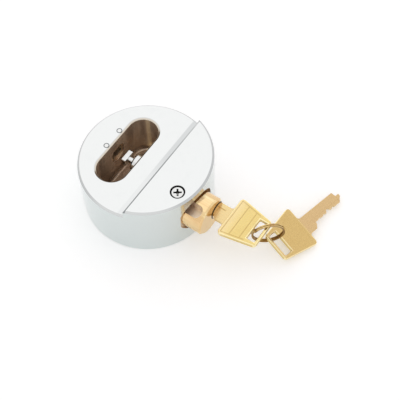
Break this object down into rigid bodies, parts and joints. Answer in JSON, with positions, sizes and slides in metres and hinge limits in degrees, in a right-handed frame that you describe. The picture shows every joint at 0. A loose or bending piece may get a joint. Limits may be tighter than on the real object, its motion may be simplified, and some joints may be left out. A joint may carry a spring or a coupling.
{
  "type": "puck padlock",
  "caption": "Round puck padlock with a stepped back, a blind hasp slot, a pull-out shackle plunger turned by a key, and a spare key on a split ring.",
  "frame": {"origin": "centre of the round front face, on which the puck rests", "axes": "+Z out of the back face, the side that lies against a hasp; +X the way the plunger pulls out; +Y along the slot"},
  "size_m": [0.1311, 0.0918, 0.038],
  "materials": {
    "chromed_case": "satin chrome plate",
    "hardened_steel": "ground",
    "screw_steel": "bright",
    "carrier_brass": "turned, bright",
    "plug_brass": "turned, bright",
    "pin_brass": "turned",
    "key_brass": "stamped, satin",
    "ring_bronze": "dark bright wire"
  },
  "bodies": {
    "puck": {"puck_body": "chromed_case", "keeper_ring": "hardened_steel", "keeper_dowels": "hardened_steel", "stop_screw": "screw_steel"},
    "plunger": {"plunger_carrier": "carrier_brass", "shackle_pin": "hardened_steel", "chamber_caps": "pin_brass", "driver_pins": "screw_steel", "pin_springs": "screw_steel"},
    "plug_and_key": {"plug": "plug_brass", "plug_clip": "screw_steel", "key_pin_1": "pin_brass", "key_pin_2": "pin_brass", "key_pin_3": "pin_brass", "key_pin_4": "pin_brass", "key_pin_5": "pin_brass", "plug_key": "key_brass", "tongue_stem": "hardened_steel", "tongue_bar": "hardened_steel"},
    "ring": {"split_ring": "ring_bronze"},
    "spare": {"spare_key": "key_brass"}
  },
  "joints": [
    {"name": "plunger_slide", "type": "slide", "parent": "puck", "child": "plunger", "axis": [1, 0, 0], "range_m": [-0.0115, 0.0135]},
    {"name": "plug_turn", "type": "hinge", "parent": "plunger", "child": "plug_and_key", "pos_m": [0.045, 0.0015, 0.0206], "axis": [1, 0, 0], "range_deg": [0, 90]},
    {"name": "ring_swing", "type": "hinge", "parent": "plug_and_key", "child": "ring", "pos_m": [0.07265, 0.0021, 0.0206], "axis": [0, 1, 0], "range_deg": [-60, 1]},
    {"name": "spare_key_swing", "type": "hinge", "parent": "ring", "child": "spare", "pos_m": [0.07891, 0.00643, 0.00663], "axis": [-0.9281, 0.2277, 0.2947], "range_deg": [0, 35]}
  ]
}
